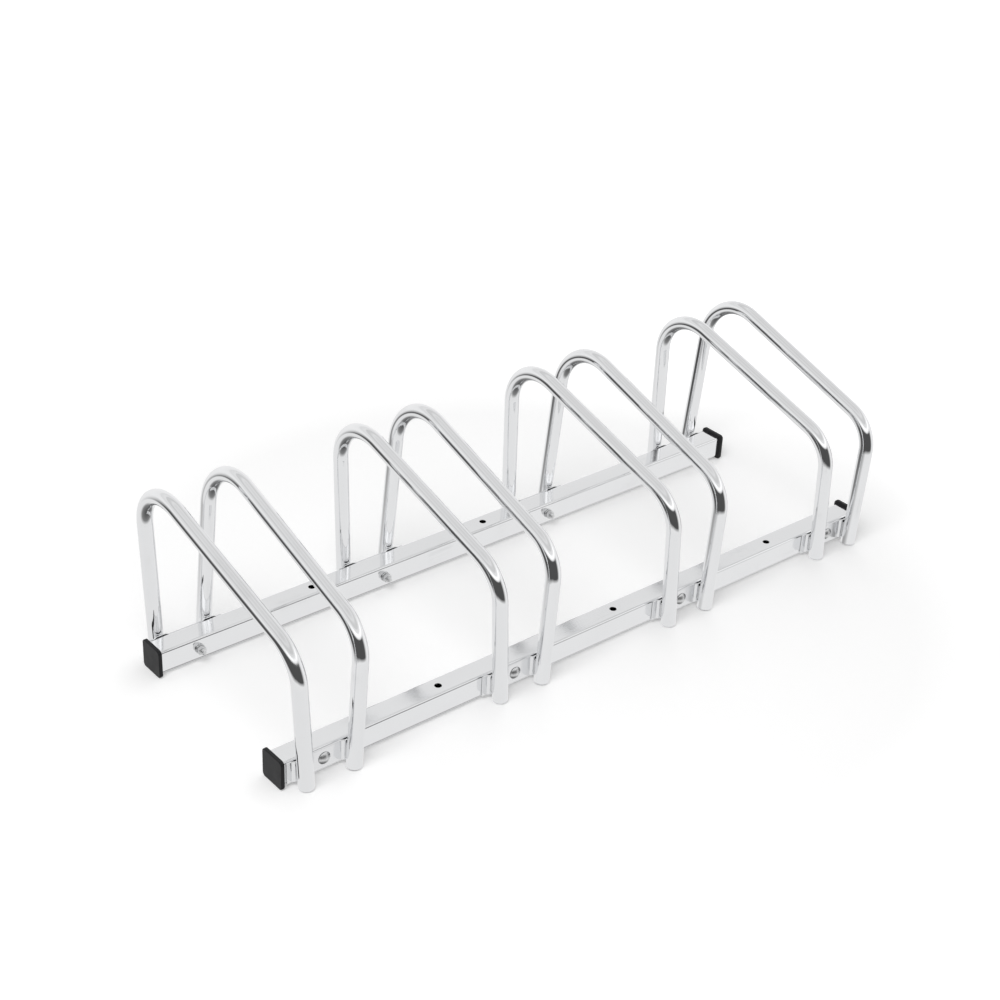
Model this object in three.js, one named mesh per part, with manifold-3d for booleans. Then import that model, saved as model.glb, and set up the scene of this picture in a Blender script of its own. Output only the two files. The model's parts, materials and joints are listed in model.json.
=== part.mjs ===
// Floor bike rack for four bikes, in millimetres, +Z up.
// Two square-tube rails lie side by side on the floor. Eight bent tube hoops stand on their outer
// faces in four pairs, and the wheel of a bike goes between the two hoops of a pair. Each pair is
// carried by one pressed strip bracket on each rail, held by a single cup-head bolt.
// The origin is on the floor, under the middle of the rack. X runs along the rails, and the low
// side of the hoops, where a wheel rolls in, faces -Y.
import * as THREE from "three";
import { mergeVertices } from "three/addons/utils/BufferGeometryUtils.js";
import Module from "manifold-3d";

// ---- Driving dimensions -------------------------------------------------------------------
const SLOT_COUNT = 4;
const SLOT_PITCH = 275; // from one pair of hoops to the next
const CLEARANCE = 0.3; // left between pieces that touch

const RAIL_SIZE = 30; // square tube, outside
const RAIL_WALL = 1.5;
const RAIL_CORNER = 3; // outer corner radius
const RAIL_SPACING = 258; // between the centre lines of the two rails
const RAIL_OVERHANG = 53; // rail beyond the middle of the outer pairs
const FIXING_HOLE = 9; // floor fixing holes, down through each rail
const FIXING_HOLE_OFFSET = 172; // from the pair on its left

const CAP_SIZE = 38; // the cap heads are the feet, so they are larger than the tube
const CAP_THICKNESS = 4.5;
const CAP_CORNER = 5;
const CAP_BEVEL = 1;
const CAP_PLUG_LENGTH = 16;
const CAP_PLUG_WALL = 2;
const CAP_RIB_HEIGHT = 0.8; // ribs that grip inside the tube
const CAP_RIB_WIDTH = 1.6;
const CAP_RIB_COUNT = 3;

const HOOP_TUBE = 19; // outside diameter
const HOOP_WALL = 1.5;
const HOOP_FOOT_GAP = 1.2; // between a leg's end and the floor
const HOOP_FOOT_SPREAD = 64; // between the legs of a pair, at the floor
const HOOP_SPLAY = 0.055; // sideways lean, as rise over run
const HOOP_FRONT_CORNER = 176; // height where the front leg and the slope would meet
const HOOP_REAR_CORNER = 270; // height where the slope and the rear leg would meet
const HOOP_FRONT_RADIUS = 50; // bends, to the middle of the tube
const HOOP_REAR_RADIUS = 62;
const HOOP_REAR_LEAN = 0.04; // the rear leg leans in towards the front

const STRIP_THICKNESS = 2;
const STRIP_RISE = 2.4; // step from the rail out to a pad
const STRIP_HEIGHT = 27;
const STRIP_TAB = 16.5; // from the middle of a leg to the end of the strip
const STRIP_PAD = 12; // raised flat behind each leg
const STRIP_RAMP = 3.5;
const STRIP_BEND = 2; // bend radius, to the middle of the strip

const BOLT_SHANK = 6;
const BOLT_HOLE = 7;
const BOLT_HEAD = 16;
const BOLT_HEAD_HEIGHT = 3.6;
const BOLT_NECK = 6; // square, under the head
const BOLT_THREAD_OUT = 4.5; // past the nut
const BOLT_CHAMFER = 1; // at the end of the thread
const NUT_WIDTH = 10; // across flats
const NUT_THICKNESS = 5;
const WASHER_SIZE = 12.5;
const WASHER_THICKNESS = 1.6;

const TUBE_SIDES = 16; // sides of a hoop's outline
const BORE_SIDES = 8; // sides of its bore
const ROUND_SIDES = 12; // sides of a hole or a round fastener
const CORNER_STEPS = 3; // facets of a rounded corner
const PLUG_CORNER_STEPS = 1; // and of a cap's plug, inside the rail
const DOME_STEPS = 4; // rings of a bolt's cup head
const STRIP_BEND_STEPS = 2; // facets of a strip's bend
const BEND_STEP = THREE.MathUtils.degToRad(12); // turn from one ring of a bend to the next

// ---- Sizes that follow from them ----------------------------------------------------------
const railLength = (SLOT_COUNT - 1) * SLOT_PITCH + 2 * RAIL_OVERHANG;
const railBottom = (CAP_SIZE - RAIL_SIZE) / 2; // the caps hold the rails off the floor
const railMiddle = railBottom + RAIL_SIZE / 2;
const railBore = RAIL_SIZE - 2 * RAIL_WALL;
const railFace = RAIL_SPACING / 2 + RAIL_SIZE / 2; // outer face of either rail, from the middle
const padFace = CLEARANCE + STRIP_RISE + STRIP_THICKNESS; // outer face of a pad, from the rail
const legPlane = railFace + padFace + CLEARANCE + HOOP_TUBE / 2;
const legAtStrip = HOOP_FOOT_SPREAD / 2 + HOOP_SPLAY * railMiddle; // leg to slot middle, at a strip
const slotCentres = Array.from({ length: SLOT_COUNT }, (_, i) => (i - (SLOT_COUNT - 1) / 2) * SLOT_PITCH);

// ---- Finishes ------------------------------------------------------------------------------
function finish(color, roughness, metalness) {
  return new THREE.MeshStandardMaterial({ color, roughness, metalness });
}
const brightTube = finish(0xd9dbdd, 0.16, 1);
const brightRail = finish(0xdcdddf, 0.24, 1);
const brightStrip = finish(0xc9cbcd, 0.3, 1);
const zincPlate = finish(0xb9bcbf, 0.34, 1);
const blackPlastic = finish(0x151516, 0.55, 0);

// ---- Cutting and joining --------------------------------------------------------------------
const wasm = await Module();
wasm.setup();

function toSolid(geometry) {
  const bare = geometry.clone();
  bare.deleteAttribute("normal");
  bare.deleteAttribute("uv");
  const merged = mergeVertices(bare, 1e-4);
  return new wasm.Manifold(
    new wasm.Mesh({
      numProp: 3,
      vertProperties: new Float32Array(merged.attributes.position.array),
      triVerts: new Uint32Array(merged.index.array),
    }),
  );
}

function toGeometry(solid) {
  const { vertProperties, triVerts } = solid.getMesh();
  const geometry = new THREE.BufferGeometry();
  geometry.setAttribute("position", new THREE.BufferAttribute(new Float32Array(vertProperties), 3));
  geometry.setIndex(new THREE.BufferAttribute(new Uint32Array(triVerts), 1));
  geometry.computeVertexNormals();
  return geometry;
}

// ---- Outlines --------------------------------------------------------------------------------
function roundedSquare(size, radius, steps = CORNER_STEPS) {
  const half = size / 2 - radius;
  const outline = new THREE.Shape();
  for (let corner = 0; corner < 4; corner += 1) {
    const middle = new THREE.Vector2(half, half).rotateAround(new THREE.Vector2(), (corner * Math.PI) / 2);
    for (let step = 0; step <= steps; step += 1) {
      const angle = ((corner + step / steps) * Math.PI) / 2;
      const x = middle.x + radius * Math.cos(angle);
      const y = middle.y + radius * Math.sin(angle);
      if (corner + step === 0) outline.moveTo(x, y);
      else outline.lineTo(x, y);
    }
  }
  outline.closePath();
  return outline;
}

function polygon(diameter, sides, turn = 0) {
  const points = Array.from({ length: sides }, (_, i) => {
    const angle = turn + (i * 2 * Math.PI) / sides;
    return new THREE.Vector2((diameter / 2) * Math.cos(angle), (diameter / 2) * Math.sin(angle));
  });
  return new THREE.Shape(points);
}

// The outline of a strip of even thickness. Its middle line is straight from corner to corner, with
// an arc at each bend.
function bentStrip(corners, radius, thickness) {
  const origin = new THREE.Vector2();
  const direction = (a, b) => b.clone().sub(a).normalize();
  const leftOf = (v) => new THREE.Vector2(-v.y, v.x);
  const line = [];
  corners.forEach((corner, i) => {
    const before = i > 0 ? direction(corners[i - 1], corner) : direction(corner, corners[1]);
    const after = i < corners.length - 1 ? direction(corner, corners[i + 1]) : before;
    const turn = Math.atan2(before.cross(after), before.dot(after));
    const reach = radius * Math.tan(Math.abs(turn) / 2);
    const start = corner.clone().addScaledVector(before, -reach);
    const middle = start.clone().addScaledVector(leftOf(before), radius * Math.sign(turn));
    const steps = reach > 0 ? STRIP_BEND_STEPS : 0;
    for (let step = 0; step <= steps; step += 1) {
      const angle = steps > 0 ? (turn * step) / steps : 0;
      const point = start.clone().rotateAround(middle, angle);
      line.push({ point, normal: leftOf(before).rotateAround(origin, angle) });
    }
  });
  const face = (side) =>
    line.map(({ point, normal }) => point.clone().addScaledVector(normal, (side * thickness) / 2));
  return new THREE.Shape([...face(-1), ...face(1).reverse()]);
}

// A straight bar along +Z, from 0 to its length, with a hole through it where one is given.
function bar(outline, length, hole) {
  const section = outline.clone();
  if (hole) section.holes.push(hole);
  return new THREE.ExtrudeGeometry(section, { depth: length, bevelEnabled: false, curveSegments: 1 });
}

// ---- Rails -------------------------------------------------------------------------------------
// Square tube with rounded corners. The fixing holes go down through both walls, between the
// slots, and the bolt holes go across, one at each pair of hoops.
function railGeometry() {
  const tube = bar(
    roundedSquare(RAIL_SIZE, RAIL_CORNER),
    railLength,
    roundedSquare(railBore, RAIL_CORNER - RAIL_WALL),
  );
  tube.translate(0, 0, -railLength / 2);
  tube.rotateY(Math.PI / 2);
  let rail = toSolid(tube);
  const drill = (diameter, x, across) => {
    const cutter = new THREE.CylinderGeometry(diameter / 2, diameter / 2, 2 * RAIL_SIZE, ROUND_SIDES);
    if (!across) cutter.rotateX(Math.PI / 2);
    cutter.translate(x, 0, 0);
    rail = rail.subtract(toSolid(cutter));
  };
  slotCentres.forEach((x) => drill(BOLT_HOLE, x, true));
  slotCentres.slice(0, -1).forEach((x) => drill(FIXING_HOLE, x + FIXING_HOLE_OFFSET, false));
  return toGeometry(rail);
}

// ---- End caps ----------------------------------------------------------------------------------
// Moulded plug with a bevelled square head. The plug is hollow and open at its inner end, and its
// ribs fit the bore of the tube. The head lies towards -X here, and its inner face is at X = 0.
function capGeometry() {
  const headDepth = CAP_THICKNESS - CAP_BEVEL;
  const head = new THREE.ExtrudeGeometry(roundedSquare(CAP_SIZE - 2 * CAP_BEVEL, CAP_CORNER - CAP_BEVEL), {
    depth: headDepth,
    bevelSize: CAP_BEVEL,
    bevelThickness: CAP_BEVEL,
    bevelSegments: 1,
    curveSegments: 1,
  });
  // The bevel stays on the outer side only.
  const trim = new THREE.BoxGeometry(2 * CAP_SIZE, 2 * CAP_SIZE, 2 * CAP_BEVEL);
  trim.translate(0, 0, headDepth + CAP_BEVEL);
  const ribSize = railBore - 2 * CLEARANCE;
  const plugSize = ribSize - 2 * CAP_RIB_HEIGHT;
  const corner = RAIL_CORNER - RAIL_WALL;
  const plug = bar(roundedSquare(plugSize, corner, PLUG_CORNER_STEPS), CAP_PLUG_LENGTH + CAP_BEVEL);
  plug.translate(0, 0, headDepth - CAP_BEVEL);
  const hollowSize = plugSize - 2 * CAP_PLUG_WALL;
  const hollow = bar(roundedSquare(hollowSize, corner, PLUG_CORNER_STEPS), CAP_PLUG_LENGTH);
  hollow.translate(0, 0, headDepth + CAP_BEVEL);
  let cap = toSolid(head).subtract(toSolid(trim)).add(toSolid(plug));
  const ribPitch = (CAP_PLUG_LENGTH - CAP_RIB_WIDTH) / CAP_RIB_COUNT;
  for (let i = 1; i <= CAP_RIB_COUNT; i += 1) {
    const rib = bar(roundedSquare(ribSize, corner, PLUG_CORNER_STEPS), CAP_RIB_WIDTH);
    rib.translate(0, 0, headDepth + i * ribPitch - CAP_RIB_WIDTH / 2);
    cap = cap.add(toSolid(rib));
  }
  const geometry = toGeometry(cap.subtract(toSolid(hollow)));
  geometry.translate(0, 0, -headDepth);
  geometry.rotateY(Math.PI / 2);
  return geometry;
}

// ---- Hoops -------------------------------------------------------------------------------------
// The middle line of a bent tube: straights joined by round bends, all in one upright plane. It
// gives a point only where the tube needs a ring, at the ends of a straight and along a bend.
class BentLine extends THREE.Curve {
  constructor(corners, radii) {
    super();
    this.points = [];
    this.tangents = [];
    const add = (point, tangent) => {
      this.points.push(point);
      this.tangents.push(tangent);
    };
    const direction = (a, b) => b.clone().sub(a).normalize();
    add(corners[0], direction(corners[0], corners[1]));
    for (let i = 1; i < corners.length - 1; i += 1) {
      const before = direction(corners[i - 1], corners[i]);
      const after = direction(corners[i], corners[i + 1]);
      const turn = before.angleTo(after);
      const start = corners[i].clone().addScaledVector(before, -radii[i - 1] * Math.tan(turn / 2));
      const axis = before.clone().cross(after).normalize();
      const spoke = before.clone().cross(axis).multiplyScalar(radii[i - 1]);
      const middle = start.clone().sub(spoke);
      const steps = Math.ceil(turn / BEND_STEP);
      for (let step = 0; step <= steps; step += 1) {
        const angle = (turn * step) / steps;
        const point = spoke.clone().applyAxisAngle(axis, angle).add(middle);
        add(point, before.clone().applyAxisAngle(axis, angle));
      }
    }
    add(corners.at(-1), direction(corners.at(-2), corners.at(-1)));
  }

  get steps() {
    return this.points.length - 1;
  }

  getUtoTmapping(u) {
    return u;
  }

  getPoint(t) {
    return this.points[Math.round(t * this.steps)].clone();
  }

  getTangent(t) {
    return this.tangents[Math.round(t * this.steps)].clone();
  }
}

function hoopGeometry() {
  // The rear leg comes closest to its strip at the strip's upper edge.
  const stripTop = railMiddle + STRIP_HEIGHT / 2;
  const rearAt = (z) => legPlane - HOOP_REAR_LEAN * (z - stripTop);
  const line = new BentLine(
    [
      new THREE.Vector3(0, -legPlane, HOOP_FOOT_GAP),
      new THREE.Vector3(0, -legPlane, HOOP_FRONT_CORNER),
      new THREE.Vector3(0, rearAt(HOOP_REAR_CORNER), HOOP_REAR_CORNER),
      new THREE.Vector3(0, rearAt(HOOP_FOOT_GAP), HOOP_FOOT_GAP),
    ],
    [HOOP_FRONT_RADIUS, HOOP_REAR_RADIUS],
  );
  const section = polygon(HOOP_TUBE, TUBE_SIDES);
  section.holes.push(polygon(HOOP_TUBE - 2 * HOOP_WALL, BORE_SIDES));
  return new THREE.ExtrudeGeometry(section, { extrudePath: line, steps: line.steps, curveSegments: 1 });
}

// ---- Strip brackets ------------------------------------------------------------------------------
// Pressed from flat strip. It lies on the rail between the legs and at both ends, and steps out
// to a pad behind each leg, where the tube is welded to it. Here it lies along X, with the rail's
// face at Y = 0 and the legs towards -Y.
function stripGeometry() {
  const low = CLEARANCE + STRIP_THICKNESS / 2;
  const high = low + STRIP_RISE;
  const pad = STRIP_PAD / 2;
  const half = [
    new THREE.Vector2(legAtStrip - pad - STRIP_RAMP, -low),
    new THREE.Vector2(legAtStrip - pad, -high),
    new THREE.Vector2(legAtStrip + pad, -high),
    new THREE.Vector2(legAtStrip + pad + STRIP_RAMP, -low),
    new THREE.Vector2(legAtStrip + STRIP_TAB, -low),
  ];
  const otherHalf = half.map(({ x, y }) => new THREE.Vector2(-x, y)).reverse();
  const plan = bentStrip([...otherHalf, ...half], STRIP_BEND, STRIP_THICKNESS);
  const strip = bar(plan, STRIP_HEIGHT);
  strip.translate(0, 0, -STRIP_HEIGHT / 2);
  const neckHole = BOLT_NECK + 2 * CLEARANCE;
  const cutter = new THREE.BoxGeometry(neckHole, 4 * STRIP_THICKNESS, neckHole);
  cutter.translate(0, -low, 0);
  return toGeometry(toSolid(strip).subtract(toSolid(cutter)));
}

// ---- Fasteners -----------------------------------------------------------------------------------
// Cup-head bolt along +Y, with the rail's outer face at Y = 0 and its head towards -Y.
const headSeat = STRIP_THICKNESS + 2 * CLEARANCE;
const washerStart = RAIL_SIZE + CLEARANCE;
const nutStart = washerStart + WASHER_THICKNESS + CLEARANCE;
const boltEnd = nutStart + NUT_THICKNESS + BOLT_THREAD_OUT;

function boltGeometry() {
  const radius = BOLT_HEAD / 2;
  const sphere = (radius * radius + BOLT_HEAD_HEIGHT * BOLT_HEAD_HEIGHT) / (2 * BOLT_HEAD_HEIGHT);
  const profile = [
    new THREE.Vector2(0, boltEnd),
    new THREE.Vector2(BOLT_SHANK / 2 - BOLT_CHAMFER, boltEnd),
    new THREE.Vector2(BOLT_SHANK / 2, boltEnd - BOLT_CHAMFER),
    new THREE.Vector2(BOLT_SHANK / 2, -headSeat),
  ];
  for (let i = 0; i < DOME_STEPS; i += 1) {
    const x = radius * Math.cos((i * Math.PI) / 2 / DOME_STEPS);
    const rise = Math.sqrt(sphere * sphere - x * x) - (sphere - BOLT_HEAD_HEIGHT);
    profile.push(new THREE.Vector2(x, -headSeat - rise));
  }
  profile.push(new THREE.Vector2(0, -headSeat - BOLT_HEAD_HEIGHT));
  const round = new THREE.LatheGeometry(profile.reverse(), ROUND_SIDES);
  // The square neck fills the strip's hole, and its root is inside the head.
  const neckRoot = BOLT_HEAD_HEIGHT / 2;
  const neckLength = neckRoot + headSeat - CLEARANCE;
  const neck = new THREE.BoxGeometry(BOLT_NECK, neckLength, BOLT_NECK);
  neck.translate(0, neckLength / 2 - headSeat - neckRoot, 0);
  return toGeometry(toSolid(round).add(toSolid(neck)));
}

function washerGeometry() {
  const washer = bar(
    polygon(WASHER_SIZE, ROUND_SIDES),
    WASHER_THICKNESS,
    polygon(BOLT_SHANK + 2 * CLEARANCE, ROUND_SIDES),
  );
  washer.rotateX(-Math.PI / 2);
  washer.translate(0, washerStart, 0);
  return washer;
}

function nutGeometry() {
  const acrossCorners = NUT_WIDTH / Math.cos(Math.PI / 6);
  const nut = bar(
    polygon(acrossCorners, 6),
    NUT_THICKNESS,
    polygon(BOLT_SHANK + 2 * CLEARANCE, ROUND_SIDES),
  );
  nut.rotateX(-Math.PI / 2);
  nut.translate(0, nutStart, 0);
  return nut;
}

// ---- Assembly --------------------------------------------------------------------------------------
const rack = new THREE.Group();

function addMesh(parent, name, geometry, material) {
  const mesh = new THREE.Mesh(geometry, material);
  mesh.name = name;
  parent.add(mesh);
  return mesh;
}

// Each side of the rack is built as the front side, and the rear side is turned half a turn.
const sides = [
  { name: "front", turn: 0 },
  { name: "rear", turn: Math.PI },
];

const rail = railGeometry();
const cap = capGeometry();
const strip = stripGeometry();
const bolt = boltGeometry();
const washer = washerGeometry();
const nut = nutGeometry();
const hoop = hoopGeometry();

for (const side of sides) {
  const front = side.turn === 0;
  const railMesh = addMesh(rack, `rail_${side.name}`, rail, brightRail);
  railMesh.position.set(0, front ? -RAIL_SPACING / 2 : RAIL_SPACING / 2, railMiddle);

  for (const end of ["left", "right"]) {
    const left = end === "left";
    const capMesh = addMesh(rack, `end_cap_${side.name}_${end}`, cap, blackPlastic);
    const endX = railLength / 2 + CLEARANCE;
    capMesh.position.set(left ? -endX : endX, railMesh.position.y, railMiddle);
    capMesh.rotation.z = left ? 0 : Math.PI;
  }

  slotCentres.forEach((x, i) => {
    const fixing = new THREE.Group();
    fixing.position.set(x, front ? -railFace : railFace, railMiddle);
    fixing.rotation.z = side.turn;
    addMesh(fixing, `strip_bracket_${side.name}_${i + 1}`, strip, brightStrip);
    addMesh(fixing, `cup_head_bolt_${side.name}_${i + 1}`, bolt, zincPlate);
    addMesh(fixing, `washer_${side.name}_${i + 1}`, washer, zincPlate);
    addMesh(fixing, `hex_nut_${side.name}_${i + 1}`, nut, zincPlate);
    rack.add(fixing);
  });
}

slotCentres.forEach((x, i) => {
  for (const hand of ["left", "right"]) {
    const sign = hand === "left" ? -1 : 1;
    const hoopMesh = addMesh(rack, `hoop_${i + 1}_${hand}`, hoop, brightTube);
    hoopMesh.position.set(x + (sign * HOOP_FOOT_SPREAD) / 2, 0, 0);
    hoopMesh.rotation.y = sign * Math.atan(HOOP_SPLAY);
  }
});

export default rack;
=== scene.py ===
import json
import math

import bmesh
import bpy
from mathutils import Matrix, Vector


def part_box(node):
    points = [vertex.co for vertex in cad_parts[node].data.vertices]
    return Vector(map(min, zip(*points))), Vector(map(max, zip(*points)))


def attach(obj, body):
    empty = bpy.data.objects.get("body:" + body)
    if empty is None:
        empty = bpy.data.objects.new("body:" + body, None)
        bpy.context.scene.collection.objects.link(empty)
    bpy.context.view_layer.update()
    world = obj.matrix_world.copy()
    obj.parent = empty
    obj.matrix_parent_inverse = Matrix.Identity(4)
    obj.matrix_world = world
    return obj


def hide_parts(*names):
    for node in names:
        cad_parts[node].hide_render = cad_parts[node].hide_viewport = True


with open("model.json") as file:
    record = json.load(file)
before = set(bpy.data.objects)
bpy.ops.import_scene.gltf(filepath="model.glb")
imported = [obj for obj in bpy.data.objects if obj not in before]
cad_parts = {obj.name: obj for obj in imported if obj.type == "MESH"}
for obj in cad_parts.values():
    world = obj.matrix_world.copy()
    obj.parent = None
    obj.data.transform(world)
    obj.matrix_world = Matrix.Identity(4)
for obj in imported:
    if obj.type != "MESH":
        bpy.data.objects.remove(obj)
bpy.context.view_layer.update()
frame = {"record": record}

mm = 0.001

# ---- Camera -------------------------------------------------------------------------------------
# It stands off the left end of the rack, on the low side of the hoops, and looks down on them
# through a fairly long lens. Its right side is tipped up a little.
camera_place = Vector((-1350.2, -1505.9, 1316.0)) * mm
camera_heading = math.radians(40.84)  # from +Y towards +X
camera_dip = math.radians(30.21)
camera_roll = math.radians(2.9)
camera_lens = 67.4
nearest_seen = 50 * mm
ahead = Vector((
    math.sin(camera_heading) * math.cos(camera_dip),
    math.cos(camera_heading) * math.cos(camera_dip),
    -math.sin(camera_dip),
))
level = Vector((math.cos(camera_heading), -math.sin(camera_heading), 0))
above = level.cross(ahead)
right = math.cos(camera_roll) * level + math.sin(camera_roll) * above
upward = math.cos(camera_roll) * above - math.sin(camera_roll) * level
bpy.ops.object.camera_add()
camera = bpy.context.object
camera.data.lens = camera_lens
camera.data.clip_start = nearest_seen
camera_turn = Matrix((right, upward, -ahead)).transposed().to_4x4()
camera.matrix_world = Matrix.Translation(camera_place) @ camera_turn
bpy.context.scene.camera = camera
bpy.context.scene.view_settings.view_transform = "Standard"

# ---- Rails --------------------------------------------------------------------------------------
# Square steel tube, 30 mm, with rounded corners, cut square at both ends and bright plated.
# Bolt holes go across it at each pair of hoops, and floor fixing holes go down through it.
rail_corner = 3 * mm
rail_wall = 1.5 * mm
broken_edge = 0.25 * mm  # the small round on cut ends and holes
bolt_hole = 7 * mm
fixing_hole = 9 * mm
fixing_face_to_hole = -18 * mm  # along X, from a fixing face in the record to its hole
slots = range(1, 5)
along_x = (0, math.pi / 2, 0)
along_y = (math.pi / 2, 0, 0)


class Shade:
    """A shader socket that arithmetic signs work on. Values and sockets can be mixed."""

    def __init__(self, tree, socket=None):
        self.tree = tree
        self.socket = socket

    def node(self, kind, settings=None, inputs=None, output=0):
        """A new node: its settings come first, a ramp's stops among them, and then its inputs."""
        made = self.tree.nodes.new(kind)
        for name, value in (settings or {}).items():
            if name == "stops":
                stops = made.color_ramp.elements
                for i, (position, colour) in enumerate(value):
                    stop = stops[i] if i < 2 else stops.new(position)
                    stop.position = position
                    stop.color = (*colour, 1)
            else:
                setattr(made, name, value)
        for name, value in (inputs or {}).items():
            if isinstance(value, Shade):
                self.tree.links.new(value.socket, made.inputs[name])
            else:
                made.inputs[name].default_value = value
        return Shade(self.tree, made.outputs[output])

    def math(self, operation, *values):
        return self.node("ShaderNodeMath", {"operation": operation}, dict(enumerate(values)))

    def __add__(self, other):
        return self.math("ADD", self, other)

    def __sub__(self, other):
        return self.math("SUBTRACT", self, other)

    def __rsub__(self, other):
        return self.math("SUBTRACT", other, self)

    def __mul__(self, other):
        return self.math("MULTIPLY", self, other)

    __radd__ = __add__
    __rmul__ = __mul__

    def clamp(self, low, high):
        return self.math("MINIMUM", self.math("MAXIMUM", self, low), high)

    def over(self, start, gain):
        """A mask: 0 up to a start value, and from there it rises by the gain until it is 1."""
        return ((self - start) * gain).clamp(0, 1)

    def noise(self, place, scale, detail):
        return self.node("ShaderNodeTexNoise", inputs={"Vector": place, "Scale": scale, "Detail": detail})

    def mix(self, factor, first, second):
        """Goes from the first colour to the second as the factor goes from 0 to 1."""
        colours = {"Factor": factor, "A": first, "B": second}
        return self.node("ShaderNodeMix", {"data_type": "RGBA"}, colours, output="Result")

    def feed(self, receiver):
        self.tree.links.new(self.socket, receiver)


def new_material(name):
    material = bpy.data.materials.new(name)
    material.use_nodes = True
    tree = material.node_tree
    return material, Shade(tree), tree.nodes["Principled BSDF"]


def plated_steel(name, colour, roughness, stretch, coordinate=None):
    """Bright plating over drawn steel: fine lines along the draw, a faint cloud and a few rubs."""
    middle = 0.5  # of what a noise gives
    dull_colour = [0.93 * c for c in colour]
    material, shade, surface = new_material(name)
    if coordinate:
        place = shade.node("ShaderNodeAttribute", {"attribute_name": coordinate}, output="Vector")
    else:
        place = shade.node("ShaderNodeTexCoord", output="Object")
    drawn = shade.node("ShaderNodeMapping", inputs={"Vector": place, "Scale": stretch})
    lines = shade.noise(drawn, scale=900, detail=3)
    bands = shade.noise(drawn, scale=120, detail=2)
    cloud = shade.noise(place, scale=22, detail=4)
    grain = shade.noise(place, scale=1400, detail=2)
    rubs = cloud.over(0.56, gain=9) * bands.over(middle, gain=8)
    unevenness = (lines - middle) * 0.06 + (cloud - middle) * 0.1 + rubs * 0.05
    (unevenness + roughness).clamp(0.04, 0.9).feed(surface.inputs["Roughness"])
    dullness = (rubs * 0.5 + (cloud - 0.35) * 0.5).clamp(0, 1)
    shade.mix(dullness, (*colour, 1), (*dull_colour, 1)).feed(surface.inputs["Base Color"])
    surface.inputs["Metallic"].default_value = 1
    relief = lines * 0.6 + bands * 1.2 + grain * 0.25
    bump = shade.node("ShaderNodeBump", inputs={"Height": relief, "Strength": 0.06, "Distance": 0.3 * mm})
    bump.feed(surface.inputs["Normal"])
    return material


def deselect():
    bpy.ops.object.select_all(action="DESELECT")


def choose(piece):
    """The piece becomes the active one, and the only one selected."""
    deselect()
    piece.select_set(True)
    bpy.context.view_layer.objects.active = piece


def edit(piece):
    """Edit mode on one piece, with all of it selected."""
    choose(piece)
    bpy.ops.object.mode_set(mode="EDIT")
    bpy.ops.mesh.select_all(action="SELECT")


def done():
    bpy.ops.object.mode_set(mode="OBJECT")


def extrude(x, y, z):
    bpy.ops.mesh.extrude_region_move(TRANSFORM_OT_translate={"value": (x, y, z)})


def face_outwards():
    """All faces of the piece in edit mode turn their fronts outwards."""
    bpy.ops.mesh.select_all(action="SELECT")
    bpy.ops.mesh.normals_make_consistent(inside=False)


def settle(piece):
    """The piece's place, turn and scale go into its mesh."""
    choose(piece)
    bpy.ops.object.transform_apply(location=True, rotation=True, scale=True)


def modify(piece, kind, **settings):
    """Adds a modifier and applies it."""
    choose(piece)
    modifier = piece.modifiers.new(kind.lower(), kind)
    for name, value in settings.items():
        setattr(modifier, name, value)
    bpy.ops.object.modifier_apply(modifier=modifier.name)


def combine(piece, tool, operation):
    """Cuts, joins or crosses a piece with another, which is used up."""
    settle(tool)
    modify(piece, "BOOLEAN", operation=operation, object=tool, solver="MANIFOLD")
    bpy.data.objects.remove(tool)


def break_edges(piece, width, turn, segments=2):
    """Rounds the edges where the surface turns by more than so many degrees."""
    limit = math.radians(turn)
    modify(piece, "BEVEL", width=width, segments=segments, limit_method="ANGLE", angle_limit=limit)


def smooth(piece, angle=35):
    """Smooth shading that keeps flat faces flat."""
    choose(piece)
    bpy.ops.object.shade_smooth_by_angle(angle=math.radians(angle))
    modify(piece, "WEIGHTED_NORMAL", keep_sharp=True, weight=90)


def cylinder(name, diameter, depth, place, turn=(0, 0, 0), sides=48):
    deselect()
    bpy.ops.mesh.primitive_cylinder_add(
        vertices=sides, radius=diameter / 2, depth=depth, location=place, rotation=turn
    )
    piece = bpy.context.object
    piece.name = name
    return piece


def square_bar(size, corner, place, length, wall=0, rounding=6):
    """A bar along X with rounded corners, or a tube where a wall is given, from its left end."""
    deselect()
    bpy.ops.mesh.primitive_plane_add(size=size, location=place, rotation=along_x)
    piece = bpy.context.object
    settle(piece)
    edit(piece)
    bpy.ops.mesh.bevel(offset=corner, segments=rounding, affect="VERTICES")
    bpy.ops.mesh.select_all(action="SELECT")
    if wall:
        bpy.ops.mesh.inset(thickness=wall)
        bpy.ops.mesh.delete(type="FACE")
        bpy.ops.mesh.select_all(action="SELECT")
    extrude(length, 0, 0)
    face_outwards()
    done()
    return piece


def dress(piece, name, material, slot, *nodes):
    """Names a finished piece, gives it its finish and hides the nodes it stands for."""
    piece.name = name
    piece.data.name = name
    piece.data.materials.clear()
    piece.data.materials.append(material)
    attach(piece, "root")
    if nodes:
        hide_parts(*nodes)


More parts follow.
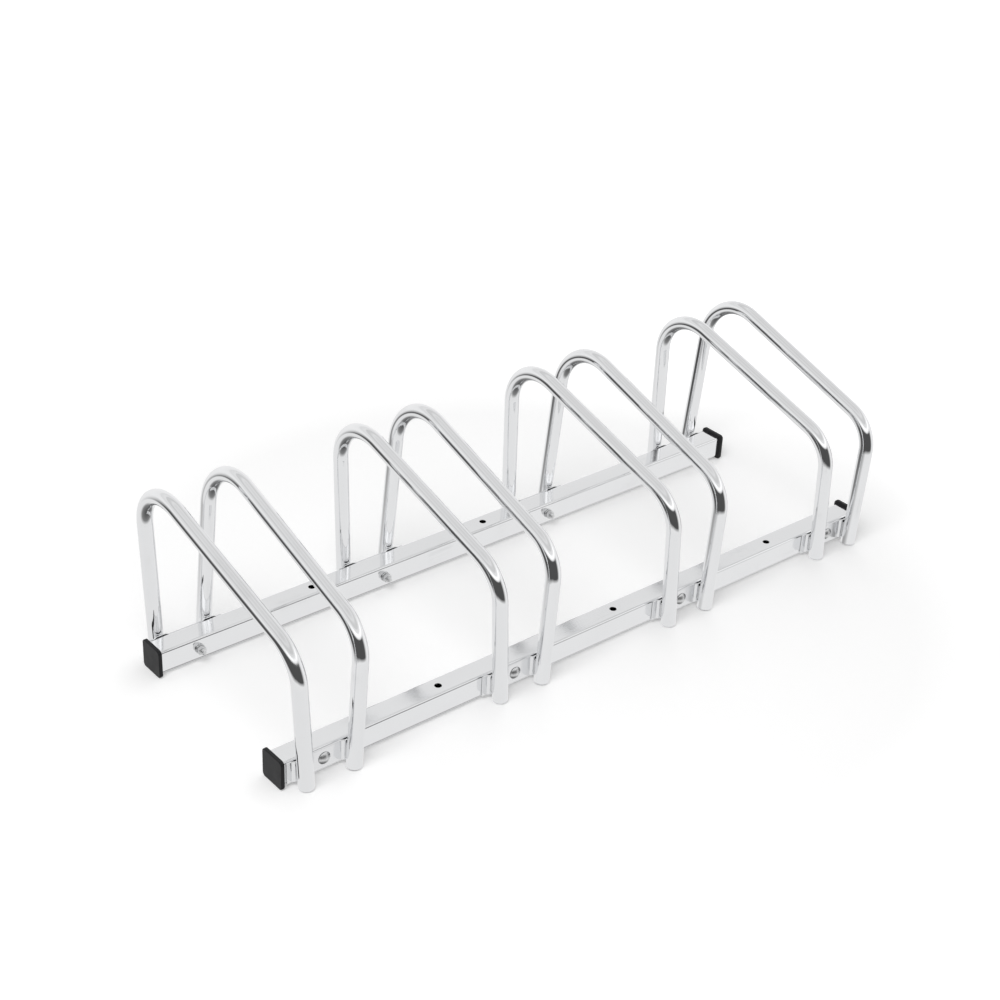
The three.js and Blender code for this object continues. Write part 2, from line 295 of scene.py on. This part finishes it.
rail_low, rail_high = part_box("rail_front")
rail_middle = (rail_low.z + rail_high.z) / 2
rail_size = rail_high.z - rail_low.z
through_rail = 2 * rail_size
rail_plating = plated_steel("rail_plating", (0.88, 0.885, 0.895), 0.11, (0.02, 1, 1))
fixing_xs = [
    mount["pos_m"][0] + fixing_face_to_hole
    for mount in frame["record"]["mounts"]
    if mount["name"].startswith("fixing_face_front")
]
for side in ("front", "rear"):
    low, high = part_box(f"rail_{side}")
    rail_y = (low.y + high.y) / 2
    rail = square_bar(rail_size, rail_corner, (low.x, rail_y, rail_middle), high.x - low.x, rail_wall)
    for i in slots:
        bolt_low, bolt_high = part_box(f"cup_head_bolt_{side}_{i}")
        bolt_place = ((bolt_low.x + bolt_high.x) / 2, rail_y, rail_middle)
        combine(rail, cylinder("cutter", bolt_hole, through_rail, bolt_place, along_y), "DIFFERENCE")
    for x in fixing_xs:
        fixing_place = (x, rail_y, rail_middle)
        combine(rail, cylinder("cutter", fixing_hole, through_rail, fixing_place), "DIFFERENCE")
    break_edges(rail, broken_edge, turn=50)
    smooth(rail)
    dress(rail, f"plated_rail_{side}", rail_plating, "rail", f"rail_{side}")

# ---- End caps -----------------------------------------------------------------------------------
# Moulded black plastic plugs, pushed into the rails. The square head is larger than the rail, so
# the four heads are the feet. Its outer face is flat, with a rounded rim.
cap_corner = 5 * mm
cap_bevel = 1.1 * mm
clearance = 0.3 * mm
plug_corner = 1.5 * mm
plug_wall = 2 * mm
plug_length = 16 * mm
plug_play = 1.1 * mm
grip_ribs = 3
rib_width = 1.6 * mm
darker_plastic = (0.008, 0.008, 0.009, 1)
paler_plastic = (0.016, 0.016, 0.018, 1)


def pick(kind, test):
    """Selects only the faces, edges or vertices of the piece in edit mode that pass a test."""
    bpy.ops.mesh.select_mode(type={"faces": "FACE", "edges": "EDGE", "verts": "VERT"}[kind])
    bpy.ops.mesh.select_all(action="DESELECT")
    mesh = bmesh.from_edit_mesh(bpy.context.object.data)
    for part in getattr(mesh, kind):
        if test(part):
            part.select_set(True)
    bmesh.update_edit_mesh(bpy.context.object.data)


def pick_edges(test):
    """Selects only the edges whose two ends lie where a test says."""
    pick("edges", lambda edge: all(test(vertex.co) for vertex in edge.verts))


def copy_at(source, matrix):
    piece = source.copy()
    piece.data = source.data.copy()
    bpy.context.scene.collection.objects.link(piece)
    piece.data.transform(matrix)
    return piece


black_plastic, shade, surface = new_material("black_plastic")
place = shade.node("ShaderNodeTexCoord", output="Object")
grain = shade.noise(place, scale=1500, detail=3)
flow = shade.noise(place, scale=70, detail=3)
shade.mix(flow, darker_plastic, paler_plastic).feed(surface.inputs["Base Color"])
((flow - 0.5) * 0.2 + grain * 0.1 + 0.4).feed(surface.inputs["Roughness"])
surface.inputs["Specular IOR Level"].default_value = 0.25
relief = grain + flow * 2
bump = shade.node("ShaderNodeBump", inputs={"Height": relief, "Strength": 0.25, "Distance": 0.2 * mm})
bump.feed(surface.inputs["Normal"])

low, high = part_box("end_cap_front_left")
cap_size = high.z - low.z
cap_y = (low.y + high.y) / 2
cap_z = (low.z + high.z) / 2
head_inner = rail_low.x - clearance
bore = rail_size - 2 * rail_wall
cap = square_bar(cap_size, cap_corner, (low.x, cap_y, cap_z), head_inner - low.x, rounding=8)
edit(cap)
pick_edges(lambda place: place.x < low.x + clearance)
bpy.ops.mesh.bevel(offset=cap_bevel, segments=4, profile=0.6, affect="EDGES")
pick_edges(lambda place: place.x > head_inner - clearance)
bpy.ops.mesh.bevel(offset=broken_edge, segments=2, affect="EDGES")
done()
plug_place = (head_inner - cap_bevel, cap_y, cap_z)
plug = square_bar(bore - 2 * plug_play, plug_corner, plug_place, plug_length + cap_bevel, plug_wall)
combine(cap, plug, "UNION")
rib_size = bore - 2 * clearance
for i in range(1, grip_ribs + 1):
    rib_place = (head_inner + i * plug_length / (grip_ribs + 1), cap_y, cap_z)
    rib = square_bar(rib_size, plug_corner, rib_place, rib_width, plug_wall, rounding=3)
    combine(cap, rib, "UNION")
smooth(cap)
half_turn = Matrix.Rotation(math.pi, 4, "Z")
other_rail = Matrix.Translation((0, -2 * cap_y, 0))
placings = {
    "front_right": other_rail.inverted() @ half_turn,
    "rear_left": other_rail,
    "rear_right": half_turn,
}
for where, matrix in placings.items():
    dress(copy_at(cap, matrix), f"foot_cap_{where}", black_plastic, "cap", f"end_cap_{where}")
dress(cap, "foot_cap_front_left", black_plastic, "cap", "end_cap_front_left")

# ---- Strip brackets -----------------------------------------------------------------------------
# Flat steel strip, 2 mm thick, pressed out to a pad behind each leg of a pair and plated like the
# rails. The middle has a square hole for the neck of the bolt that holds it to the rail.
strip_thickness = 2 * mm
strip_rise = 2.4 * mm
strip_pad = 12 * mm
strip_ramp = 3.5 * mm
bend_width = 1.6 * mm
neck_hole = 6.6 * mm
foot_spread = 64 * mm  # between the two legs of a pair, at the floor
splay = 0.055  # sideways lean of a hoop for each unit of height
same_point = 0.01 * mm  # points nearer than this count as one
low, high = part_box("strip_bracket_front_1")
strip_height = high.z - low.z
half_strip = (high.x - low.x) / 2
rail_face = rail_low.y
leg_x = foot_spread / 2 + splay * rail_middle
strip_plating = plated_steel("strip_plating", (0.84, 0.845, 0.855), 0.14, (0.04, 1, 1))

flat_end = leg_x - strip_pad / 2 - strip_ramp
pad_end = leg_x + strip_pad / 2
strip_middle = (0, rail_face - clearance, rail_middle)
deselect()
bpy.ops.mesh.primitive_plane_add(size=1, location=strip_middle, rotation=along_y)
strip = bpy.context.object
strip.scale = (2 * flat_end, strip_height, 1)
settle(strip)
edit(strip)
steps_out = (
    (strip_ramp, -strip_rise),
    (strip_pad, 0),
    (strip_ramp, strip_rise),
    (half_strip - leg_x - strip_pad / 2 - strip_ramp, 0),
)
for sign in (-1, 1):
    reach = flat_end
    for length, rise in steps_out:
        pick_edges(lambda place: abs(place.x - sign * reach) < same_point)
        extrude(sign * length, rise, 0)
        reach += length
for bend_x in (flat_end, flat_end + strip_ramp, pad_end, pad_end + strip_ramp):
    pick_edges(lambda place: abs(abs(place.x) - bend_x) < same_point)
    bpy.ops.mesh.bevel(offset=bend_width / 2, segments=4, affect="EDGES")
face_outwards()
done()
front_facing = sum(face.normal.y * face.area for face in strip.data.polygons) < 0
modify(strip, "SOLIDIFY", thickness=strip_thickness, offset=1 if front_facing else -1)
deselect()
bpy.ops.mesh.primitive_cube_add(size=neck_hole, location=strip_middle)
combine(strip, bpy.context.object, "DIFFERENCE")
break_edges(strip, broken_edge, turn=60)
smooth(strip, 25)


def at_fixing(side, i):
    """From a fixing's own place, on the front rail at x = 0, to the fixing's place in the rack."""
    low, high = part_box(f"strip_bracket_{side}_{i}")
    along = Matrix.Translation(((low.x + high.x) / 2, 0, 0))
    return along if side == "front" else along @ half_turn


for side in ("front", "rear"):
    for i in slots:
        piece = copy_at(strip, at_fixing(side, i))
        dress(piece, f"pressed_strip_{side}_{i}", strip_plating, "strip", f"strip_bracket_{side}_{i}")
bpy.data.objects.remove(strip)

# ---- Hoops --------------------------------------------------------------------------------------
# Round steel tube, 19 mm, bent twice: a tight bend over the front leg, a long slope, and a wider
# bend down into the rear leg, which leans in. Cut square at both feet and bright plated.
tube = 19 * mm
tube_wall = 1.5 * mm
tube_sides = 48
foot_edge = 0.4 * mm
front_corner = 176 * mm
rear_corner = 270 * mm
front_radius = 50 * mm
rear_radius = 62 * mm
rear_lean = 0.04
foot_gap = 1.2 * mm
bend_step = math.radians(4)
strip_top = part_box("strip_bracket_rear_1")[1].z
leg_plane = -(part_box("hoop_1_left")[0].y + tube / 2)


def in_plane(y, z):
    return Vector((0, y, z))


foot = in_plane(-leg_plane, foot_gap)
corner = in_plane(-leg_plane, front_corner)
high_corner = in_plane(leg_plane - rear_lean * (rear_corner - strip_top), rear_corner)
rear_foot = in_plane(leg_plane - rear_lean * (foot_gap - strip_top), foot_gap)
up_leg = (corner - foot).normalized()
up_slope = (high_corner - corner).normalized()
down_leg = (rear_foot - high_corner).normalized()
front_turn = up_leg.angle(up_slope)
rear_turn = up_slope.angle(down_leg)
front_reach = front_radius * math.tan(front_turn / 2)
rear_reach = rear_radius * math.tan(rear_turn / 2)
bend_1_start = corner - up_leg * front_reach
bend_1_end = corner + up_slope * front_reach
bend_2_start = high_corner - up_slope * rear_reach
bend_2_end = high_corner + down_leg * rear_reach
across = Vector((1, 0, 0))
inwards_at_leg = up_leg.cross(across)
inwards_at_slope = up_slope.cross(across)
inwards_at_rear = down_leg.cross(across)
bend_1_centre = bend_1_start + inwards_at_leg * front_radius
bend_2_centre = bend_2_start + inwards_at_slope * rear_radius

deselect()
bpy.ops.mesh.primitive_circle_add(vertices=tube_sides, radius=tube / 2, location=foot)
hoop = bpy.context.object
settle(hoop)
edit(hoop)
extrude(*(bend_1_start - foot))
bpy.ops.mesh.spin(
    steps=math.ceil(front_turn / bend_step), angle=front_turn, center=bend_1_centre, axis=across
)
extrude(*(bend_2_start - bend_1_end))
bpy.ops.mesh.spin(
    steps=math.ceil(rear_turn / bend_step), angle=rear_turn, center=bend_2_centre, axis=across
)
extrude(*(rear_foot - bend_2_end))
bpy.ops.mesh.select_all(action="SELECT")
bpy.ops.mesh.remove_doubles(threshold=same_point)
face_outwards()
done()
modify(hoop, "SOLIDIFY", thickness=tube_wall, offset=-1)
break_edges(hoop, foot_edge, turn=60, segments=3)
smooth(hoop)

# The plating's pattern follows the tube: each point keeps its place on the tube before bending,
# and these lengths along the tube say where each of its stretches starts.
bend_1_from = (bend_1_start - foot).length
slope_from = bend_1_from + front_radius * front_turn
bend_2_from = slope_from + (bend_2_start - bend_1_end).length
rear_leg_from = bend_2_from + rear_radius * rear_turn


def unbent(point):
    """(across, outwards, along) of a point on the tube, as if it had stayed straight."""
    if point.z <= bend_1_start.z and point.y < 0:
        return point.x, -(point.y + leg_plane), point.z - foot_gap
    past_bend_1 = (point - bend_1_end).dot(up_slope)
    past_slope = (point - bend_2_start).dot(up_slope)
    past_bend_2 = (point - bend_2_end).dot(down_leg)
    if past_bend_1 <= 0:
        spoke = in_plane(point.y, point.z) - bend_1_centre
        along = bend_1_from + front_radius * spoke.angle(-inwards_at_leg)
        return point.x, spoke.length - front_radius, along
    if past_slope <= 0:
        outwards = (point - bend_1_end).dot(-inwards_at_slope)
        return point.x, outwards, slope_from + past_bend_1
    if past_bend_2 <= 0:
        spoke = in_plane(point.y, point.z) - bend_2_centre
        along = bend_2_from + rear_radius * spoke.angle(-inwards_at_slope)
        return point.x, spoke.length - rear_radius, along
    outwards = (point - bend_2_end).dot(-inwards_at_rear)
    return point.x, outwards, rear_leg_from + past_bend_2


# Each hoop takes its own part of the pattern, so many metres from the others'.
shift_across = 0.31
shift_outwards = 0.17
shift_along = 0.4
tube_plating = plated_steel("tube_plating", (0.86, 0.865, 0.875), 0.06, (1, 1, 0.02), "straight")
for i in slots:
    pair_low, pair_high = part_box(f"strip_bracket_front_{i}")
    pair_x = (pair_low.x + pair_high.x) / 2
    for sign, hand in ((-1, "left"), (1, "right")):
        lean = Matrix.Rotation(sign * math.atan(splay), 4, "Y")
        stand = Matrix.Translation((pair_x + sign * foot_spread / 2, 0, 0))
        piece = copy_at(hoop, Matrix.Identity(4))
        straight = piece.data.attributes.new("straight", "FLOAT_VECTOR", "POINT")
        apart = Vector((shift_across * i, shift_outwards * sign, shift_along * i * sign))
        places = [Vector(unbent(vertex.co)) + apart for vertex in piece.data.vertices]
        straight.data.foreach_set("vector", [value for place in places for value in place])
        piece.data.transform(stand @ lean)
        dress(piece, f"bent_hoop_{i}_{hand}", tube_plating, "hoop", f"hoop_{i}_{hand}")
bpy.data.objects.remove(hoop)

# ---- Welds --------------------------------------------------------------------------------------
# Two short beads hold each leg to its pad, one on each side of the tube, with the ripples of a hand
# run torch. They are plated over with the hoop and its strips.
bead_sides = 14
bead_width = 3.4 * mm
bead_ripples = 9
bead_run = 19 * mm  # its ripples take about this length
ripple = bead_run / bead_ripples
bead_off_leg = 5.4 * mm
bead_off_pad = 0.36  # its middle stands off the pad by this share of its width
ripple_swell = 1.13
end_swell = 1.75
end_taper = 0.57
half_ripple = 0.5
last_half_ripple = 0.4
rounded_end = 0.35
weld_plating = plated_steel("weld_plating", (0.72, 0.725, 0.735), 0.3, (1, 1, 1))

deselect()
bpy.ops.mesh.primitive_circle_add(
    vertices=bead_sides, radius=bead_width / 4, fill_type="NGON", location=(0, 0, -bead_run / 2)
)
bead = bpy.context.object
settle(bead)
edit(bead)
swells = [end_swell] + [ripple_swell, 1 / ripple_swell] * bead_ripples + [end_taper]
rises = [rounded_end] + [half_ripple] * 2 * (bead_ripples - 1) + [last_half_ripple] * 2 + [rounded_end]
for swell, rise in zip(swells, rises):
    extrude(0, 0, rise * ripple)
    bpy.ops.transform.resize(value=(swell, swell, 1))
face_outwards()
done()
modify(bead, "SUBSURF", levels=1, render_levels=1)
smooth(bead, 60)
pad_face = rail_face - clearance - strip_rise - strip_thickness
bead_y = pad_face - bead_width * bead_off_pad
for side in ("front", "rear"):
    for i in slots:
        for sign, hand in ((-1, "left"), (1, "right")):
            for edge_sign, edge in ((-1, "outer"), (1, "inner")):
                # Left and right are as seen from the front of the rack, also on the rear rail.
                lean = Matrix.Rotation(sign * math.atan(splay), 4, "Y")
                bead_x = sign * (leg_x - edge_sign * bead_off_leg)
                in_pair = Matrix.Translation((bead_x, 0, rail_middle)) @ lean
                out = Matrix.Translation((0, bead_y if side == "front" else -bead_y, 0))
                low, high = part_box(f"strip_bracket_{side}_{i}")
                pair = Matrix.Translation(((low.x + high.x) / 2, 0, 0))
                piece = copy_at(bead, pair @ out @ in_pair)
                dress(piece, f"weld_{side}_{i}_{hand}_{edge}", weld_plating, "strip")
bpy.data.objects.remove(bead)

# ---- Cup-head bolts -----------------------------------------------------------------------------
# M6 steel bolts, zinc plated. The square neck under the low dome sits in the strip's square hole,
# and the thread comes out through the inner wall of the rail.
shank = 6 * mm
head = 16 * mm
head_height = 3.6 * mm
neck = 6 * mm
thread_pitch = 1 * mm
thread_depth = 0.55 * mm
thread_length = 22 * mm
thread_flank = 0.44 * thread_pitch
thread_crest = 0.12 * thread_pitch
lead_in = 1.5 * thread_pitch  # of the wound thread, before it is cut square
spare_turns = 2
low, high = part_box("cup_head_bolt_front_1")
head_top = low.y
bolt_tip = high.y
head_seat = head_top + head_height
zinc = plated_steel("zinc_plate", (0.78, 0.785, 0.79), 0.36, (1, 1, 1))

dome_radius = ((head / 2) ** 2 + head_height ** 2) / (2 * head_height)
deselect()
bpy.ops.mesh.primitive_uv_sphere_add(
    segments=48, ring_count=96, radius=dome_radius, location=(0, head_top + dome_radius, rail_middle),
    rotation=along_y,
)
bolt = bpy.context.object
settle(bolt)
edit(bolt)
bpy.ops.mesh.bisect(
    plane_co=(0, head_seat, 0), plane_no=(0, 1, 0), use_fill=True, clear_outer=True, threshold=same_point
)
face_outwards()
done()
break_edges(bolt, broken_edge, turn=50)
neck_end = rail_face - clearance
deselect()
bpy.ops.mesh.primitive_cube_add(size=neck, location=(0, (head_seat + neck_end) / 2, rail_middle))
square_neck = bpy.context.object
square_neck.scale.y = (neck_end - head_seat + 2 * clearance) / neck
combine(bolt, square_neck, "UNION")
thread_start = bolt_tip - thread_length
plain_length = thread_start - head_seat + clearance
plain_place = (0, head_seat + plain_length / 2, rail_middle)
combine(bolt, cylinder("plain", shank, plain_length, plain_place, along_y, sides=32), "UNION")

# One turn's outline is wound up the bolt, cut square at both ends and given a chamfered tip.
deselect()
bpy.ops.mesh.primitive_plane_add(size=thread_pitch, location=(0, 0, 0))
thread = bpy.context.object
edit(thread)
bpy.ops.mesh.merge(type="CENTER")
pick("verts", lambda vertex: True)
bpy.ops.transform.translate(value=(shank / 2 - thread_depth, 0, 0))
extrude(thread_depth, thread_flank, 0)
extrude(0, thread_crest, 0)
extrude(-thread_depth, thread_flank, 0)
done()
modify(
    thread, "SCREW", axis="Y", angle=2 * math.pi, screw_offset=thread_pitch, steps=32, render_steps=32,
    iterations=round(thread_length / thread_pitch) + spare_turns,
    use_merge_vertices=True, merge_threshold=same_point,
)
edit(thread)
bpy.ops.mesh.remove_doubles(threshold=same_point)
bpy.ops.transform.translate(value=(0, thread_start - lead_in, rail_middle))
for cut, outer in ((thread_start - clearance, False), (bolt_tip, True)):
    bpy.ops.mesh.select_all(action="SELECT")
    bpy.ops.mesh.bisect(
        plane_co=(0, cut, 0), plane_no=(0, 1, 0), use_fill=True, clear_outer=outer, clear_inner=not outer,
        threshold=same_point,
    )
face_outwards()
done()
blank_length = thread_length + 2 * clearance
blank_place = (0, bolt_tip - blank_length / 2, rail_middle)
blank = cylinder("blank", shank + clearance, blank_length, blank_place, along_y)
settle(blank)
edit(blank)
pick_edges(lambda place: place.y > bolt_tip - clearance)
bpy.ops.mesh.bevel(offset=thread_pitch, segments=1, affect="EDGES")
done()
combine(thread, blank, "INTERSECT")
combine(bolt, thread, "UNION")
smooth(bolt, 32)
for side in ("front", "rear"):
    for i in slots:
        piece = copy_at(bolt, at_fixing(side, i))
        dress(piece, f"m6_cup_bolt_{side}_{i}", zinc, "fastener", f"cup_head_bolt_{side}_{i}")
bpy.data.objects.remove(bolt)

# ---- Washers and nuts ---------------------------------------------------------------------------
# A plain washer and a hexagon nut on each bolt, inside the rack. The washer is stamped, with
# rounded rims, and the nut's corners are chamfered where a spanner meets them.
through_hole = 6.4 * mm
nut_width = 10 * mm
nut_chamfer = 0.9 * mm
nut_edge = 0.12 * mm
low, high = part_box("washer_front_1")
washer_width = high.z - low.z
washer = cylinder("washer", washer_width, high.y - low.y, (0, (low.y + high.y) / 2, rail_middle), along_y)
settle(washer)
combine(washer, cylinder("cutter", through_hole, shank, (0, high.y, rail_middle), along_y), "DIFFERENCE")
break_edges(washer, broken_edge, turn=50, segments=3)
smooth(washer)

low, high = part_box("hex_nut_front_1")
nut_middle = (0, (low.y + high.y) / 2, rail_middle)
nut_height = high.y - low.y
corners = nut_width / math.cos(math.pi / 6)
nut = cylinder("nut", corners, nut_height, nut_middle, along_y, sides=6)
settle(nut)
turned_blank = cylinder("blank", corners + clearance, nut_height, nut_middle, along_y, sides=64)
settle(turned_blank)
edit(turned_blank)
pick("edges", lambda edge: abs(edge.verts[0].co.y - edge.verts[1].co.y) < same_point)
bpy.ops.mesh.bevel(offset=nut_chamfer, segments=1, affect="EDGES")
done()
combine(nut, turned_blank, "INTERSECT")
combine(nut, cylinder("cutter", through_hole, 2 * nut_height, nut_middle, along_y), "DIFFERENCE")
break_edges(nut, nut_edge, turn=25)
smooth(nut)
for side in ("front", "rear"):
    for i in slots:
        piece = copy_at(washer, at_fixing(side, i))
        dress(piece, f"plain_washer_{side}_{i}", zinc, "fastener", f"washer_{side}_{i}")
        piece = copy_at(nut, at_fixing(side, i))
        dress(piece, f"m6_nut_{side}_{i}", zinc, "fastener", f"hex_nut_{side}_{i}")
bpy.data.objects.remove(washer)
bpy.data.objects.remove(nut)

# ---- Floor, backdrop and light ------------------------------------------------------------------
# A plain pale sheet under the rack, a white surround and two soft lamps. Metal sees the studio's
# walls: pale for the most part, with a dark gap near the horizon and one bright strip in front.
floor_size = 12
floor_glow = 0.2
pool_radius = 0.5  # outside it the sheet fades into the white surround
fade_glow = 0.8
deselect()
bpy.ops.mesh.primitive_plane_add(size=floor_size, location=(0, 0, 0))
floor = bpy.context.object
floor.name = "floor"
floor.visible_glossy = False
floor_sheet, shade, surface = new_material("floor_sheet")
surface.inputs["Base Color"].default_value = (0.9, 0.9, 0.9, 1)
surface.inputs["Roughness"].default_value = 0.9
surface.inputs["Specular IOR Level"].default_value = 0
seen = shade.node("ShaderNodeLightPath", output="Is Camera Ray")
place = shade.node("ShaderNodeTexCoord", output="Object")
far = shade.node("ShaderNodeVectorMath", {"operation": "LENGTH"}, {0: place}, output="Value")
fade = (far - pool_radius).clamp(0, 1) * fade_glow
glow = shade.node("ShaderNodeEmission", inputs={"Strength": seen * (floor_glow + fade)})
lit = Shade(shade.tree, surface.outputs[0])
both = shade.node("ShaderNodeAddShader", inputs={0: lit, 1: glow})
both.feed(shade.tree.nodes["Material Output"].inputs["Surface"])
floor.data.materials.append(floor_sheet)

world = bpy.data.worlds.new("studio")
bpy.context.scene.world = world
world.use_nodes = True
shade = Shade(world.node_tree)
mirrored = shade.node("ShaderNodeLightPath", output="Is Glossy Ray")
seen = shade.node("ShaderNodeLightPath", output="Is Camera Ray")
direction = shade.node("ShaderNodeTexCoord", output="Generated")
to_right = shade.node("ShaderNodeSeparateXYZ", inputs={"Vector": direction}, output="X")
to_rear = shade.node("ShaderNodeSeparateXYZ", inputs={"Vector": direction}, output="Y")
height = shade.node("ShaderNodeSeparateXYZ", inputs={"Vector": direction}, output="Z")


def by_height(*stops):
    """Grey levels by the sine of the height above the horizon."""
    ramp = {"stops": [(0.5 + 0.5 * sine, (level, level, level)) for sine, level in stops]}
    return shade.node("ShaderNodeValToRGB", ramp, {"Fac": height * 0.5 + 0.5})


studio = by_height(
    (-1, 0.1), (-0.85, 0.25), (-0.74, 0.84), (-0.5, 0.88), (0.1, 0.95), (0.42, 0.92),
    (0.5, 0.8), (0.68, 0.86), (0.72, 0.68), (0.83, 0.7), (0.9, 0.84), (1, 0.7),
)
sheet_edge = -0.42  # the pale sheet reaches up to here, and the dark gap starts
lamp_edge = 0.3  # the gap ends and the strip of light starts, lower towards the rear
lamp_edge_slant = 0.15
light_top = 0.62
light_sharpness = 14
gap_depth = 0.93
gap_colour = (0.02, 0.02, 0.02, 1)
light_colour = (1.25, 1.25, 1.25, 1)
seen_by_dull = (0.5, 0.5, 0.5, 1)

# The gap goes round the left and the front. Towards the right and the rear the walls stay pale.
left_rear = (to_rear * 0.7 - to_right * 0.7).clamp(0, 1)
above_sheet = (height + to_right * 0.04 + left_rear * 0.14).over(sheet_edge, gain=7)
below_lamps = ((lamp_edge - height - to_rear * lamp_edge_slant) * (8.5 - to_rear * 9)).clamp(0, 1)
closed_side = ((0.3 - to_right * 0.87 - to_rear * 0.5) * 2.5).clamp(0, 1)
dark_gap = above_sheet * below_lamps * closed_side
above_gap = ((height - lamp_edge + to_rear * lamp_edge_slant) * light_sharpness).clamp(0, 1)
below_top = ((light_top - height) * light_sharpness).clamp(0, 1)
in_front = (to_rear * -2).clamp(0, 1)
walls = shade.mix(dark_gap * gap_depth, studio, gap_colour)
walls = shade.mix(above_gap * below_top * in_front, walls, light_colour)
around = shade.mix(mirrored, seen_by_dull, walls)
shown = shade.mix(seen, around, (1, 1, 1, 1))
shown.feed(world.node_tree.nodes["Background"].inputs["Color"])

for name, place, size, power in (
    ("key", (-1.2, -0.6, 2.0), 1.2, 22),
    ("fill", (1.6, 0.8, 1.8), 1.6, 10),
):
    deselect()
    bpy.ops.object.light_add(type="AREA", location=place)
    lamp = bpy.context.object
    lamp.name = name
    lamp.data.size = size
    lamp.data.energy = power
    lamp.visible_glossy = False
    lamp.rotation_euler = (-Vector(place)).to_track_quat("-Z", "Y").to_euler()
